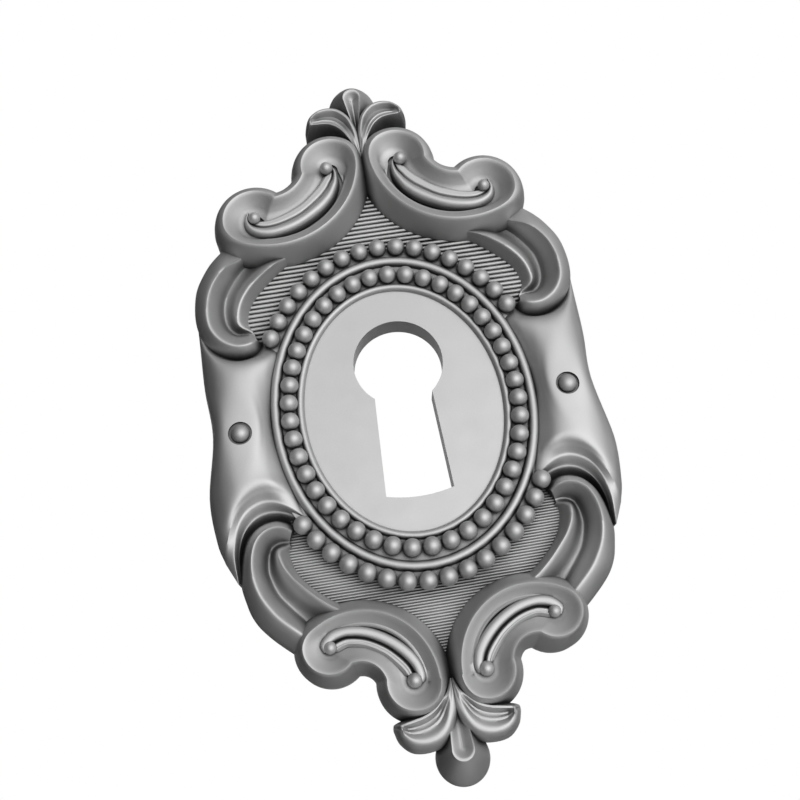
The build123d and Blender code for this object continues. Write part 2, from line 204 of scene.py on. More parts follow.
LOWER_LEAF = (
    ((14.0, -26.4, 2.9), (16.2, -24.7, 2.9), (18.5, -22.5, 2.9), (19.65, -20.7, 2.9), (20.2, -18.8, 2.9),
     (20.5, -17.2, 2.7), (20.5, -15.6, 2.2), (20.2, -13.8, 1.9), (19.5, -12.2, 1.9), (18.2, -10.9, 1.9),
     (16.3, -10.4, 1.9), (14.9, -10.8, 1.9), (13.9, -11.5, 1.9)),
    ((12.8, -24.9, 4.0), (14.65, -23.35, 4.75), (16.55, -21.6, 4.9), (17.65, -20.15, 4.9),
     (18.45, -18.65, 4.9), (18.9, -17.0, 4.9), (18.97, -15.5, 4.9), (18.7, -14.0, 4.9), (18.1, -12.75, 4.9),
     (17.1, -11.95, 4.9), (16.0, -11.7, 4.85), (15.0, -11.9, 4.6), (14.3, -12.3, 4.0)),
    ((12.4, -23.6, 2.6), (14.15, -21.7, 2.4), (15.1, -20.6, 2.3), (15.86, -19.66, 2.3), (16.5, -18.8, 2.3),
     (17.0, -17.65, 2.3), (17.38, -16.2, 2.3), (17.33, -15.0, 2.3), (17.17, -14.2, 2.3), (16.88, -13.57, 2.3),
     (16.3, -13.17, 2.4), (15.6, -13.05, 2.5), (14.8, -13.15, 2.7)),
    ((9.0, -22.6, 4.7), (10.4, -21.6, 4.7), (11.5, -20.8, 4.7), (12.7, -19.75, 4.65), (13.9, -18.5, 4.6),
     (14.9, -17.35, 4.55), (15.6, -16.2, 4.5), (15.92, -15.3, 4.4), (16.03, -14.6, 4.2), (15.95, -14.15, 3.9),
     (15.6, -13.85, 3.5), (15.15, -13.7, 3.1), (14.8, -13.55, 2.8)),
    ((8.3, -21.8, 2.2), (9.6, -21.0, 2.2), (10.7, -20.3, 2.2), (11.8, -19.45, 2.2), (12.95, -18.4, 2.2),
     (13.8, -17.4, 2.2), (14.4, -16.4, 2.2), (14.7, -15.5, 2.2), (14.85, -14.9, 2.2), (14.88, -14.4, 2.2),
     (14.85, -14.1, 2.2), (14.75, -13.9, 2.2), (14.5, -13.75, 2.2)),
)
# Share of the way from each of these lines to the next, and share of the rise or fall made by then
LEAF_SECTION = (
    ((0.15, 0.25), (0.32, 0.48), (0.5, 0.68), (0.66, 0.82), (0.8, 0.92), (0.91, 0.98), (1.0, 1.0)),
    ((0.08, 0.02), (0.18, 0.09), (0.33, 0.23), (0.5, 0.41), (0.66, 0.6), (0.8, 0.79), (0.92, 0.97),
     (1.0, 1.0)),
    ((0.07, 0.0), (0.2, 0.06), (0.35, 0.21), (0.5, 0.45), (0.65, 0.71), (0.78, 0.88), (0.9, 0.975),
     (1.0, 1.0)),
    ((0.12, 0.02), (0.25, 0.09), (0.45, 0.3), (0.65, 0.55), (0.85, 0.82), (1.0, 1.0)),
)

# Shoulders (right half): lines of (x, y, height) from the oval to the outer edge. The first lies under the
# upper leaf's hook. The last six are the brow, the slope, two folds, the crease round the lower leaf and
# its foot.
SHOULDER_SMOOTH = (
    ((14.7, 10.9, 2.3), (15.3, 10.2, 2.4), (15.9, 9.7, 2.5), (16.6, 9.3, 2.5), (17.5, 9.15, 2.5),
     (18.5, 9.35, 2.5), (19.4, 9.85, 2.5), (20.3, 10.6, 2.5), (21.0, 11.5, 2.5), (21.6, 12.6, 2.4),
     (22.1, 13.8, 2.2)),
    ((14.4, 10.4, 2.8), (14.95, 9.7, 3.1), (15.6, 9.1, 3.2), (16.4, 8.7, 3.25), (17.5, 8.55, 3.25),
     (18.6, 8.75, 3.25), (19.7, 9.3, 3.25), (20.7, 10.15, 3.25), (21.4, 11.2, 3.2), (21.9, 12.3, 2.9),
     (22.2, 13.4, 2.4)),
    ((13.6, 9.5, 3.05), (14.3, 9.0, 3.6), (15.2, 8.5, 3.95), (16.3, 8.15, 4.2), (17.5, 8.05, 4.25),
     (18.6, 8.2, 4.25), (19.8, 8.7, 4.2), (20.8, 9.5, 4.05), (21.5, 10.4, 3.65), (21.95, 11.3, 3.1),
     (22.2, 12.2, 2.4)),
    ((13.2, 8.3, 3.2), (13.85, 7.9, 3.85), (14.7, 7.55, 4.4), (16.0, 7.3, 4.8), (17.3, 7.2, 4.97),
     (18.5, 7.3, 5.0), (19.7, 7.6, 4.88), (20.7, 8.2, 4.5), (21.5, 9.0, 3.8), (21.95, 9.9, 3.1),
     (22.2, 10.9, 2.4)),
    ((14.2, 5.0, 3.2), (14.7, 5.0, 3.85), (15.3, 5.0, 4.4), (16.2, 5.0, 4.92), (17.3, 5.0, 5.2),
     (18.5, 5.0, 5.28), (19.7, 5.0, 5.1), (20.7, 5.1, 4.62), (21.5, 5.3, 3.8), (21.95, 5.5, 3.05),
     (22.2, 5.8, 2.4)),
    ((14.85, 0.0, 3.1), (15.1, 0.0, 3.6), (15.4, 0.0, 4.2), (15.85, 0.0, 4.75), (16.5, 0.0, 5.2),
     (18.0, 0.0, 5.32), (19.6, 0.0, 5.32), (20.5, 0.0, 5.15), (21.1, 0.0, 4.65), (21.55, 0.0, 3.8),
     (21.85, 0.0, 2.5)),
    ((14.2, -5.0, 3.2), (14.7, -5.0, 3.85), (15.3, -5.0, 4.4), (16.2, -5.1, 4.95), (17.4, -5.2, 5.25),
     (18.7, -5.4, 5.3), (20.0, -5.7, 5.12), (21.2, -6.0, 4.6), (22.1, -6.3, 3.8), (22.65, -6.6, 3.05),
     (22.95, -6.9, 2.4)),
    ((13.5, -7.6, 3.2), (13.95, -7.5, 3.75), (14.6, -7.2, 4.35), (15.6, -6.85, 4.9), (16.9, -6.7, 5.15),
     (18.3, -7.1, 5.2), (19.7, -8.1, 5.05), (20.9, -9.4, 4.65), (21.85, -10.5, 3.95), (22.35, -11.3, 3.2),
     (22.6, -12.0, 2.5)),
)
SHOULDER_FOLDS = (
    ((13.1, -9.2, 3.2), (13.75, -8.75, 3.7), (14.6, -8.25, 4.1), (15.7, -7.8, 4.5), (17.0, -7.65, 4.6),
     (18.3, -8.05, 4.65), (19.5, -8.95, 4.65), (20.6, -10.6, 4.45), (21.25, -12.3, 4.1), (21.65, -13.6, 3.6),
     (21.85, -14.6, 3.0)),
    ((12.7, -10.75, 3.3), (13.6, -9.95, 3.6), (14.6, -9.25, 3.85), (15.8, -8.68, 3.95), (17.1, -8.55, 3.95),
     (18.3, -8.95, 3.95), (19.3, -9.7, 3.95), (20.05, -10.9, 3.95), (20.5, -12.3, 3.92), (20.8, -14.2, 3.85),
     (20.7, -17.0, 3.4)),
    ((13.0, -11.1, 3.0), (13.9, -10.4, 3.05), (14.9, -9.9, 3.05), (16.0, -9.62, 3.05), (17.1, -9.65, 3.05),
     (18.1, -10.0, 3.05), (19.0, -10.75, 3.05), (19.7, -11.75, 3.05), (20.15, -13.0, 3.05),
     (20.42, -14.5, 3.0), (20.45, -16.9, 2.8)),
    ((13.6, -11.7, 1.9), (14.4, -11.15, 1.9), (15.2, -10.7, 1.9), (16.1, -10.48, 1.9), (17.1, -10.5, 1.9),
     (18.0, -10.85, 1.9), (18.9, -11.45, 1.9), (19.6, -12.35, 1.9), (20.1, -13.6, 1.95), (20.35, -15.1, 2.1),
     (20.3, -16.8, 2.4)),
    ((13.9, -12.2, 1.5), (14.7, -11.7, 1.5), (15.4, -11.3, 1.5), (16.1, -11.1, 1.5), (17.0, -11.1, 1.5),
     (17.7, -11.4, 1.5), (18.4, -11.95, 1.5), (19.0, -12.8, 1.5), (19.5, -13.9, 1.5), (19.8, -15.3, 1.6),
     (19.9, -16.7, 1.8)),
)
# From one of the last six lines to the next: share of the way, and share of the rise or fall
BROW_SECTION = ((0.25, 0.27), (0.5, 0.55), (0.75, 0.82), (0.9, 0.96), (1.0, 1.0))
FOLD_SECTION = ((0.1, 0.015), (0.25, 0.12), (0.5, 0.42), (0.75, 0.74), (0.92, 0.95), (1.0, 1.0))
SHOULDER_STEPS = 6

# End palmettes: a lobe of (x, y, radius) with a spoon-shaped hollow between two side leaves. The spoon is
# (half width, end) and its root is (half width, y). Lines of (x, y, height) follow the right leaf from its
# root to its tip: the foot and crest on the plaque's side, the crest and foot on the lobe's side. The
# hollow is (share of the way from crest to crest, depth).
TOP_PALMETTE = {
    "lobe": (0.0, 41.3, 2.95),
    "spoon": (0.95, 41.7),
    "root": (0.1, 35.6),
    "leaf": (
        ((0.4, 32.3, 2.6), (1.0, 33.7, 2.6), (1.55, 35.0, 2.4), (2.3, 36.1, 2.2), (3.25, 36.85, 2.0),
         (4.1, 37.1, 2.0), (4.9, 37.15, 2.0), (5.5, 37.15, 2.0), (6.0, 37.1, 2.0), (6.3, 37.2, 2.0)),
        ((0.12, 32.3, 4.3), (0.72, 33.9, 4.8), (1.3, 35.2, 4.85), (2.05, 36.4, 4.85), (3.0, 37.15, 4.85),
         (3.9, 37.4, 4.85), (4.7, 37.45, 4.85), (5.3, 37.5, 4.85), (5.7, 37.55, 4.75), (6.3, 37.4, 2.4)),
        ((0.08, 32.3, 4.3), (0.24, 34.2, 4.8), (0.45, 36.0, 4.85), (1.0, 37.75, 4.85), (2.03, 38.95, 4.85),
         (3.14, 39.35, 4.85), (4.35, 39.2, 4.85), (5.3, 38.55, 4.85), (5.75, 37.65, 4.75),
         (6.32, 37.45, 2.4)),
        ((0.0, 32.3, 4.2), (0.0, 34.2, 4.6), (0.04, 36.1, 4.3), (0.55, 38.2, 3.3), (1.75, 39.65, 2.6),
         (3.2, 40.05, 2.4), (4.7, 39.75, 2.4), (5.9, 38.85, 2.4), (6.33, 37.85, 2.3), (6.35, 37.5, 2.2)),
    ),
    "hollow": (
        (0.08, 0.1), (0.16, 0.24), (0.24, 0.3), (0.3, 0.26), (0.36, 0.38), (0.46, 0.55), (0.58, 0.72),
        (0.68, 0.74), (0.76, 0.55), (0.83, 0.24), (0.89, 0.06), (0.94, 0.0), (1.0, 0.0),
    ),
}
BOTTOM_PALMETTE = {
    "lobe": (0.0, -38.1, 2.85),
    "spoon": (1.05, -38.2),
    "root": (0.85, -33.0),
    "leaf": (
        ((0.3, -30.2, 2.6), (0.9, -31.4, 2.6), (1.75, -32.0, 2.6), (2.6, -32.7, 2.6), (3.6, -33.15, 2.6),
         (4.5, -33.3, 2.6), (5.3, -33.45, 2.4), (5.8, -33.55, 2.4), (6.3, -33.7, 2.4), (6.6, -33.85, 2.4)),
        ((0.12, -30.2, 4.3), (0.6, -31.5, 4.75), (1.4, -32.35, 4.8), (2.35, -33.15, 4.8), (3.4, -33.6, 4.8),
         (4.3, -33.8, 4.8), (5.1, -33.95, 4.8), (5.6, -34.05, 4.75), (6.0, -34.2, 4.6), (6.65, -34.0, 2.6)),
        ((0.08, -30.2, 4.3), (0.25, -31.9, 4.75), (0.62, -33.4, 4.8), (1.3, -34.9, 4.8), (2.2, -35.7, 4.8),
         (3.4, -36.0, 4.8), (4.6, -35.8, 4.8), (5.5, -35.2, 4.75), (6.0, -34.35, 4.6), (6.67, -34.1, 2.6)),
        ((0.0, -30.2, 4.2), (0.0, -32.0, 4.6), (0.05, -33.7, 4.3), (0.75, -35.7, 3.3), (1.9, -36.75, 2.7),
         (3.5, -37.1, 2.4), (5.1, -36.85, 2.4), (6.25, -35.8, 2.4), (6.67, -34.6, 2.4), (6.7, -34.2, 2.4)),
    ),
    "hollow": (
        (0.05, 0.02), (0.1, 0.15), (0.17, 0.42), (0.25, 0.62), (0.34, 0.62), (0.41, 0.5), (0.46, 0.42),
        (0.51, 0.46), (0.58, 0.46), (0.67, 0.3), (0.76, 0.12), (0.85, 0.02), (0.92, 0.0), (1.0, 0.0),
    ),
}
# Across a side leaf's walls: share of the way, and share of the rise or fall
LEAF_WALL = ((0.25, 0.5), (0.45, 0.78), (0.62, 0.92), (0.78, 0.985), (1.0, 1.0))
LEAF_ROLL = ((0.2, 0.03), (0.42, 0.13), (0.62, 0.31), (0.8, 0.56), (0.93, 0.82), (1.0, 1.0))
# Width of a side leaf at which its hollow has full depth, and the width at which it has none
HOLLOW_WIDTH = (1.7, 0.7)
# How far a side leaf swells where it is too narrow for a hollow
STEM_SWELL = 0.12
# How much lower the lobe's spoon is where it meets the side leaves
SPOON_FALL = 0.6
# Lobe: height of its foot, half width of its root, and the angles where its round starts and ends
LOBE_FOOT = 0.9
LOBE_ROOT = 0.5
LOBE_TURN = (-38, 218)
# From the lobe's foot to the ridge round its spoon: share of the way, and height
LOBE_WALL = ((0.1, 1.6), (0.25, 2.3), (0.5, 3.3), (0.75, 4.15), (0.92, 4.6))
# From that ridge to the middle of the spoon: share of the way, and depth
SPOON_SECTION = ((0.1, 0.04), (0.3, 0.24), (0.6, 0.52), (0.9, 0.72))

# Pins: shank as (radius, height) from the point up, heights of the head's underside and of its dome's edge,
# the dome's rise, and the floor of the sunk ring round the head
PIN_SHANK = ((0.0, -8.0), (0.25, -7.6), (0.65, -6.4), (0.65, -0.3), (0.75, -0.29), (0.75, 4.7))
PIN_HEAD_FOOT = 4.72
PIN_DOME_FOOT = 5.1
PIN_DOME_RISE = 0.9
PIN_RECESS_FLOOR = 4.95

# Heights between which a cutter passes right through the plate
CUT_THROUGH = (-1.0, 8.0)

# How finely curves are divided
SPLINE_STEPS = 7
OVAL_STEPS = 4000
KEYHOLE_POINTS = 64
SLOT_POINTS = 13
LOBE_POINTS = 49
ARM_POINTS = 13
PIN_SIDES = 32
PIN_DOME_ANGLES = np.radians(np.linspace(0, 84, 9))
RECESS_POINTS = 40
RING_POINTS = 144
RING_SIDES = 14
BEAD_SEGMENTS = 20
BEAD_RINGS = 12
ARC_POINTS = {"back": 60, "lobe": 40, "throat": 44}
# Share of a lobe's turn after which the plaque has its far section
FAR_FROM = 0.32
# Loop of a plaque's section from which its groove is cut, and the share of the back arc with a full groove
GROOVE_LOOP = 11
GROOVE_END = 0.8
# Heights of a plaque's floor under its crescent, and of the eye balls' centres
PLAQUE_FLOOR = 3.6
EYE_HEIGHT = 4.9
# Rows from one point of a crescent's section to the next, and how often they are rounded over
CRESCENT_ROWS = 3
CRESCENT_EASING = 2

# Angle above which an edge stays crisp, in degrees
CREASE_ANGLE = 38
# Metal: scales of its blotches and grain, reach of the painted shade in recesses in metres, and how open the
# surface is where the painted shade starts and where it is full
BLOTCH_SCALE = 320.0
GRAIN_SCALE = 5200.0
GRAIN_STRENGTH = 0.25
PAINTED_SHADE_REACH = 0.0025
PAINTED_SHADE_STARTS = 0.86
PAINTED_SHADE_FULL = 0.2

# Lights: where each shines from, and its spread in degrees
KEY_LIGHT = ((0.292, -0.902, -0.088), 54.0)
FILL_LIGHT = ((0.482, -0.439, 0.435), 110.0)
BACK_LIGHT = ((0.0, 0.97, 0.24), 60.0)
LIGHT_DISTANCE = 0.3
FLOOR_REACH = 0.3
FLOOR_COLOUR = (0.8, 0.8, 0.8, 1.0)
# Left, right, lowest and highest edge of the backdrop and its distance behind the plate, in metres
BACKDROP = (-0.75, 1.15, -0.35, 1.6, 1.5)

# Camera: lens and sensor in millimetres, its place in millimetres and the directions of its axes
CAMERA_LENS = 46.86
CAMERA_SENSOR = 36.0
CAMERA_PLACE = (-6.19, -115.18, -36.03)
CAMERA_RIGHT = (0.98713, 0.00200, -0.15988)
CAMERA_UP = (0.15196, -0.32278, 0.93420)
CAMERA_BACK = (-0.04974, -0.94647, -0.31893)
CAMERA_NEAR = 0.005


class EscutcheonRelief(bpy.types.PropertyGroup):
    """Heights of the carving above the flat back, and the sizes that repeat"""

    field_height: bpy.props.FloatProperty(
        name="Field", description="Height of the flat oval", default=0.0033,
        unit="LENGTH", subtype="DISTANCE")
    reed_height: bpy.props.FloatProperty(
        name="Reeds", description="Height of the reeded ground", default=0.0024,
        unit="LENGTH", subtype="DISTANCE")
    palmette_rim: bpy.props.FloatProperty(
        name="Palmette rim", description="Height of the palmettes' ridges", default=0.0046,
        unit="LENGTH", subtype="DISTANCE")
    bead_diameter: bpy.props.FloatProperty(
        name="Bead", description="Diameter of a bead", default=0.0021, unit="LENGTH", subtype="DISTANCE")
    bead_centre: bpy.props.FloatProperty(
        name="Bead centre", description="Height of a bead's centre", default=0.0039,
        unit="LENGTH", subtype="DISTANCE")
    reed_pitch: bpy.props.FloatProperty(
        name="Reed pitch", description="Distance from one reed to the next above the oval", default=0.00056,
        unit="LENGTH", subtype="DISTANCE")
    low_reed_pitch: bpy.props.FloatProperty(
        name="Low reed pitch", description="Distance from one reed to the next below the oval",
        default=0.000315, unit="LENGTH", subtype="DISTANCE")
    reed_slenderness: bpy.props.FloatProperty(
        name="Reed depth", description="Depth of the grooves as a share of the pitch", default=0.6)
    reed_fullness: bpy.props.FloatProperty(
        name="Reed fullness", description="Below 1, reeds are broad and their grooves are narrow",
        default=0.45)
    pin_head: bpy.props.FloatProperty(
        name="Pin head", description="Diameter of a pin's domed head", default=0.0021,
        unit="LENGTH", subtype="DISTANCE")
    pin_recess: bpy.props.FloatProperty(
        name="Pin recess", description="Diameter of the sunk ring round a pin's head", default=0.00265,
        unit="LENGTH", subtype="DISTANCE")


class EscutcheonFinish(bpy.types.PropertyGroup):
    """Colours and roughness of the cast metal and of the pins"""

    cast_colour: bpy.props.FloatVectorProperty(
        name="Cast grey", description="Colour of the cast metal", default=(0.58, 0.58, 0.58), size=3,
        subtype="COLOR", min=0.0, max=1.0)
    cast_roughness: bpy.props.FloatProperty(
        name="Cast roughness", description="Roughness of the cast metal", default=0.65, subtype="FACTOR")
    pin_colour: bpy.props.FloatVectorProperty(
        name="Pin grey", description="Colour of the pins", default=(0.56, 0.56, 0.56), size=3,
        subtype="COLOR", min=0.0, max=1.0)
    pin_roughness: bpy.props.FloatProperty(
        name="Pin roughness", description="Roughness of the pins", default=0.65, subtype="FACTOR")


class EscutcheonStage(bpy.types.PropertyGroup):
    """Light and background"""

    key_strength: bpy.props.FloatProperty(
        name="Key", description="Strength of the key light", default=2.85)
    fill_strength: bpy.props.FloatProperty(
        name="Fill", description="Strength of the fill light from the upper right", default=1.15)
    back_strength: bpy.props.FloatProperty(
        name="Back", description="Strength of the light on the plate's back", default=1.6)
    ambient: bpy.props.FloatProperty(
        name="Ambient", description="Strength of the light from all round", default=0.01, subtype="FACTOR")
    floor_drop: bpy.props.FloatProperty(
        name="Floor drop", description="Distance of the floor below the plate", default=0.5,
        unit="LENGTH", subtype="DISTANCE")


def placed(points):
    """Points of (x, y, height) in millimetres as places in the frame."""
    points = np.asarray(points, float)
    return np.column_stack([points[:, 0], -points[:, 2], points[:, 1] + OVAL_RISE]) * MM


def mirrored(points):
    """The same points on the left half of the plate."""
    return np.asarray(points, float) * ((-1, 1, 1) if np.shape(points)[-1] == 3 else (-1, 1))


def spline(points, steps=SPLINE_STEPS):
    """Smooth line through points, with the same number of steps between each two of them."""
    keys = np.asarray(points, float)
    keys = np.vstack([2 * keys[0] - keys[1], keys, 2 * keys[-1] - keys[-2]])
    line = []
    for a, b, c, d in zip(keys, keys[1:], keys[2:], keys[3:]):
        for t in np.arange(steps) / steps:
            line.append(0.5 * (2 * b + (c - a) * t + (2 * a - 5 * b + 4 * c - d) * t**2
                               + (3 * b - a - 3 * c + d) * t**3))
    line.append(keys[-2])
    return np.array(line)


def with_height(line, height):
    """A flat line raised to one height, or to one height for each point."""
    return np.column_stack([line, np.broadcast_to(height, len(line))])


def arc(centre, start, through, end, count):
    """Points on a circle from start to end, on the side of through."""
    centre = np.asarray(centre, float)
    angles = [math.atan2(p[1] - centre[1], p[0] - centre[0]) for p in (start, through, end)]
    turn = (angles[2] - angles[0]) % math.tau
    if (angles[1] - angles[0]) % math.tau > turn:
        turn -= math.tau
    radius = np.hypot(*(np.asarray(start) - centre))
    swing = angles[0] + turn * np.arange(count) / count
    return centre + radius * np.column_stack([np.cos(swing), np.sin(swing)])


def meeting(first, first_radius, second, second_radius, near):
    """Where two circles cross, on the side of near."""
    first, second = np.asarray(first, float), np.asarray(second, float)
    along = second - first
    apart = np.hypot(*along)
    along = along / apart
    reach = (first_radius**2 - second_radius**2 + apart**2) / (2 * apart)
    rise = math.sqrt(max(first_radius**2 - reach**2, 0.0))
    across = np.array((-along[1], along[0])) * rise
    options = (first + along * reach + across, first + along * reach - across)
    return min(options, key=lambda p: np.hypot(*(p - near)))


def unit(vector):
    """The same direction with a length of 1."""
    return np.asarray(vector, float) / np.hypot(*vector)


class Casting:
    """Collects closed blocks in millimetres, and turns each into an object to be joined to the plate."""

    def __init__(self, name):
        self.group = bpy.data.collections.new(name)
        bpy.context.scene.collection.children.link(self.group)

    def add(self, name, points, faces, both_sides=False):
        self.make(name, points, faces)
        if both_sides:
            self.make(name + "_left", mirrored(points), [face[::-1] for face in faces])

    def make(self, name, points, faces):
        mesh = bpy.data.meshes.new(name)
        mesh.from_pydata(placed(points).tolist(), [], faces)
        shape = bmesh.new()
        shape.from_mesh(mesh)
        bmesh.ops.recalc_face_normals(shape, faces=shape.faces)
        shape.to_mesh(mesh)
        shape.free()
        self.group.objects.link(bpy.data.objects.new(name, mesh))

    def discard(self):
        for part in list(self.group.objects):
            mesh = part.data
            bpy.data.objects.remove(part)
            bpy.data.meshes.remove(mesh)
        bpy.data.collections.remove(self.group)


def relief_block(rows):
    """A block whose top is a grid of rows, and whose sides drop to the plate's back."""
    grid = np.asarray(rows, float)
    count, across = grid.shape[:2]
    place = np.arange(count * across).reshape(count, across)
    quads = np.stack([place[:-1, :-1], place[1:, :-1], place[1:, 1:], place[:-1, 1:]], axis=-1).reshape(-1, 4)
    rim = np.concatenate([place[0, :-1], place[:-1, -1], place[-1, :0:-1], place[:0:-1, 0]])
    foot = np.arange(len(rim)) + count * across
    points = np.vstack([grid.reshape(-1, 3), grid.reshape(-1, 3)[rim] * (1, 1, 0)])
    walls = np.stack([rim, np.roll(rim, -1), np.roll(foot, -1), foot], axis=-1)
    return points, quads.tolist() + walls.tolist() + [foot.tolist()]


def loop_block(loops):
    """A block of closed loops, the first of them set down on the back and the last filled."""
    loops = np.asarray(loops, float)
    loops = np.concatenate([loops[:1] * (1, 1, 0), loops])
    count, around = loops.shape[:2]
    place = np.arange(count * around).reshape(count, around)
    ahead = np.roll(place, -1, 1)
    quads = np.stack([place[:-1], ahead[:-1], ahead[1:], place[1:]], axis=-1).reshape(-1, 4)
    return loops.reshape(-1, 3), quads.tolist() + [place[0].tolist(), place[-1].tolist()]


def ring_block(half_width, half_height, width, rise, height):
    """An oval ring of half-round section, sunk to its middle in the field."""
    swing = math.tau * np.arange(RING_POINTS) / RING_POINTS
    turn = math.tau * np.arange(RING_SIDES) / RING_SIDES
    along = np.column_stack([half_width * np.cos(swing), half_height * np.sin(swing)])
    out = np.column_stack([half_height * np.cos(swing), half_width * np.sin(swing)])
    out /= np.hypot(out[:, 0], out[:, 1])[:, None]
    reach = width / 2 * np.cos(turn)
    flat = along[:, None, :] + out[:, None, :] * reach[None, :, None]
    lift = np.broadcast_to(height + rise * np.sin(turn), flat.shape[:2])
    place = np.arange(RING_POINTS * RING_SIDES).reshape(RING_POINTS, RING_SIDES)
    ahead = np.roll(place, -1, 0)
    quads = np.stack([place, ahead, np.roll(ahead, -1, 1), np.roll(place, -1, 1)], axis=-1).reshape(-1, 4)
    return np.dstack([flat, lift]).reshape(-1, 3), quads.tolist()


def ball_block(x, y, height, radius):
    """A round bead."""
    shape = bmesh.new()
    bmesh.ops.create_uvsphere(shape, u_segments=BEAD_SEGMENTS, v_segments=BEAD_RINGS, radius=radius)
    points = np.array([tuple(v.co) for v in shape.verts]) + (x, y, height)
    faces = [[v.index for v in face.verts] for face in shape.faces]
    shape.free()
    return points, faces


def prism_block(outline, low, high):
    """A straight block between two heights."""
    outline = np.asarray(outline, float)
    around = len(outline)
    points = np.vstack([with_height(outline, low), with_height(outline, high)])
    ring = np.arange(around)
    ahead = np.roll(ring, -1)
    walls = np.stack([ring, ahead, ahead + around, ring + around], axis=-1)
    return points, walls.tolist() + [ring.tolist(), (ring + around).tolist()]


def oval_places(half_width, half_height, start, distances):
    """Places round an oval, at distances along it from an angle in degrees, anticlockwise."""
    swing = math.radians(start) + np.linspace(-math.tau, math.tau, 2 * OVAL_STEPS + 1)
    line = np.column_stack([half_width * np.cos(swing), half_height * np.sin(swing)])
    along = np.concatenate([[0], np.cumsum(np.hypot(*np.diff(line, axis=0).T))])
    along -= along[len(along) // 2]
    return [(np.interp(d, along, line[:, 0]), np.interp(d, along, line[:, 1])) for d in distances]


def oval_length(half_width, half_height):
    """Length of the way round an oval."""
    swing = np.linspace(0, math.tau, OVAL_STEPS + 1)
    line = np.column_stack([half_width * np.cos(swing), half_height * np.sin(swing)])
    return np.hypot(*np.diff(line, axis=0).T).sum()


def plaque_loop(plan, inset, throat_inset):
    """Outline of a scroll plaque, moved in from its edge."""
    hub = np.asarray(plan["hub"])
    eyes = [np.asarray(eye) for eye in plan["eyes"]]
    lobes = [lobe - inset for lobe in plan["lobes"]]
    touches = [hub + unit(eye - hub) * (np.hypot(*(eye - hub)) + lobe) for eye, lobe in zip(eyes, lobes)]
    throat = plan["throat"] + throat_inset
    inward = unit((eyes[0] + eyes[1]) / 2 - hub)
    notches = [meeting(hub, throat, eye, lobe, hub + inward * throat) for eye, lobe in zip(eyes, lobes)]
    away = unit(eyes[1] - eyes[0])
    return np.vstack([
        back_arc(hub, touches, inward),
        arc(eyes[1], touches[1], eyes[1] + away * lobes[1], notches[1], ARC_POINTS["lobe"]),
        arc(hub, notches[1], hub + inward * throat, notches[0], ARC_POINTS["throat"]),
        arc(eyes[0], notches[0], eyes[0] - away * lobes[0], touches[0], ARC_POINTS["lobe"]),
    ])


def back_arc(hub, touches, inward):
    """The long arc between the two lobes, its radius eased from one touch to the other."""
    swing = arc(hub, touches[0], hub + inward, touches[1], ARC_POINTS["back"]) - hub
    first, last = [np.hypot(*(touch - hub)) for touch in touches]
    reach = np.linspace(first, last, ARC_POINTS["back"], endpoint=False)
    return hub + swing / np.hypot(swing[:, 0], swing[:, 1])[:, None] * reach[:, None]


def add_scroll(casting, name, plan):
    """A scroll plaque, with its crescent and its two eye balls."""
    casting.add(name + "_plaque", *loop_block(plaque_loops(plan)), both_sides=True)
    casting.add(name + "_crescent", *relief_block(crescent_rows(plan)), both_sides=True)
    for number, (x, y, radius) in enumerate(plan["eye_balls"]):
        casting.add(f"{name}_eye_{number}", *ball_block(x, y, EYE_HEIGHT, radius), both_sides=True)


def plaque_loops(plan):
    """Loops up the wall of a plaque, over its rim and into its dish, with the groove round its crescent."""
    turning = np.clip(np.arange(ARC_POINTS["lobe"]) / ARC_POINTS["lobe"] / FAR_FROM, 0, 1)
    turning = turning * turning * (3 - 2 * turning)
    back, throat = np.zeros(ARC_POINTS["back"]), np.ones(ARC_POINTS["throat"])
    share = np.concatenate([back, turning, throat, turning[::-1]])
    along = np.linspace(-1, 1, ARC_POINTS["back"])
    fading = np.clip((np.abs(along) - GROOVE_END) / (1 - GROOVE_END), 0, 1)
    fading = np.concatenate([fading, np.ones(len(share) - len(back))])
    loops = []
    for number, steps in enumerate(zip(plan["section"], plan["far_section"])):
        near, far = [with_height(plaque_loop(plan, *insets), height) for *insets, height in steps]
        loops.append(near + (far - near) * (share if number < GROOVE_LOOP else fading)[:, None])
    loops.append(loops[-1] * (1, 1, 0) + (0, 0, PLAQUE_FLOOR))
    return loops


def crescent_rows(plan):
    """Rows from the inner edge of a crescent to its outer edge."""
    inner, outer = spline(plan["crescent_inner"]), spline(plan["crescent_outer"])
    shares, heights = np.array(plan["crescent"]).T
    order = np.arange(len(shares))
    fine = np.linspace(0, order[-1], CRESCENT_ROWS * order[-1] + 1)
    rows = []
    for share, height in zip(np.interp(fine, order, shares), np.interp(fine, order, heights)):
        rows.append(with_height(inner + (outer - inner) * share, height))
    return eased(rows, CRESCENT_EASING)


def eased(rows, passes):
    """Rows with their heights and places rounded over, keeping the first and last as they are."""
    rows = np.array(rows, float)
    for _ in range(passes):
        rows[1:-1] = (rows[:-2] + 2 * rows[1:-1] + rows[2:]) / 4
    return rows


def shaped(near, far, section):
    """Rows from one line of (x, y, height) to the next, rising or falling as the section says."""
    rows = []
    for across, up in section:
        row = near + (far - near) * across
        row[:, 2] = near[:, 2] + (far[:, 2] - near[:, 2]) * up
        rows.append(row)
    return rows


def add_leaf(casting, name, lines):
    """A scrolling leaf: an outer crest, a deep furrow and an inner crest."""
    lines = [spline(line) for line in lines]
    rows = [lines[0]]
    for near, far, section in zip(lines, lines[1:], LEAF_SECTION):
        rows += shaped(near, far, section)
    casting.add(name, *relief_block(rows), both_sides=True)


